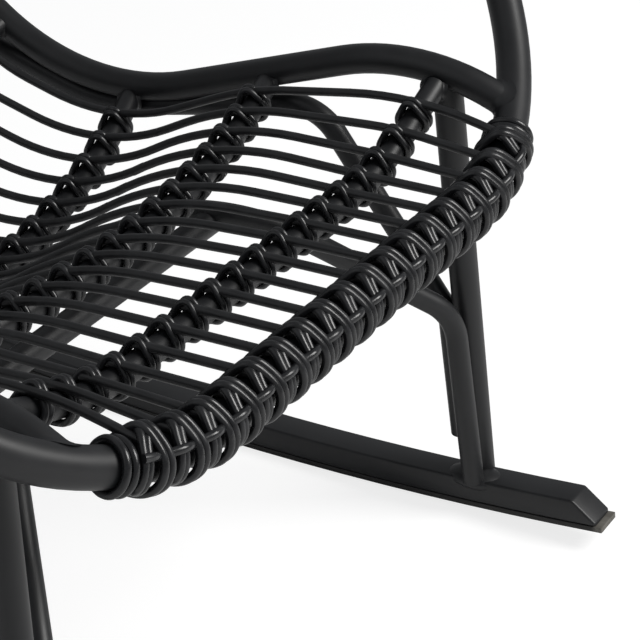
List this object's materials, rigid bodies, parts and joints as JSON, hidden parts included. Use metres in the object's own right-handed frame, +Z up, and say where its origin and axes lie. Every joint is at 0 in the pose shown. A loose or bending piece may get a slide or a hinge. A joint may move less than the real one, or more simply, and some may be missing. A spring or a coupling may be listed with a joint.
{
  "type": "rocking chair",
  "caption": "Low armed rocking chair of bent round tubes on curved rockers, with a seat and back of side by side rods lashed to cross bars.",
  "frame": {"origin": "middle of the chair's width and length, on the floor", "axes": "+X towards the sitter's left, +Y towards the back, +Z up; the row rests on Z = 0"},
  "size_m": [0.8614, 0.8631, 0.8594],
  "materials": {
    "frame": "black satin coat on metal tube",
    "wear_strip": "worn brown-grey plastic strip",
    "seat_rods": "black rods with a soft sheen",
    "lashing": "black wicker strand"
  },
  "bodies": {
    "root": {"front_rail": "frame", "top_rail": "frame", "arm_left": "frame", "arm_right": "frame", "side_rail_left": "frame", "side_rail_right": "frame", "under_rail_left": "frame", "under_rail_right": "frame", "front_leg_left": "frame", "front_leg_right": "frame", "rear_leg_left": "frame", "rear_leg_right": "frame", "brace_left": "frame", "brace_right": "frame", "yoke_tube": "frame", "seat_bar_1": "frame", "seat_bar_2": "frame", "seat_bar_3": "frame", "back_bar_1": "frame", "back_bar_2": "frame", "back_bar_3": "frame", "rocker_left": "frame", "rocker_right": "frame", "wear_strip_left": "wear_strip", "wear_strip_right": "wear_strip", "rod_01": "seat_rods", "rod_02": "seat_rods", "rod_03": "seat_rods", "rod_04": "seat_rods", "rod_05": "seat_rods", "rod_06": "seat_rods", "rod_07": "seat_rods", "rod_08": "seat_rods", "rod_09": "seat_rods", "rod_10": "seat_rods", "rod_11": "seat_rods", "rod_12": "seat_rods", "rod_13": "seat_rods", "rod_14": "seat_rods", "rod_15": "seat_rods", "rod_16": "seat_rods", "rod_17": "seat_rods", "rod_18": "seat_rods", "front_lashing": "lashing", "seat_lashing_1": "lashing", "seat_lashing_2": "lashing", "seat_lashing_3": "lashing", "back_lashing_1": "lashing", "back_lashing_2": "lashing", "back_lashing_3": "lashing", "top_lashing": "lashing"}
  },
  "joints": []
}
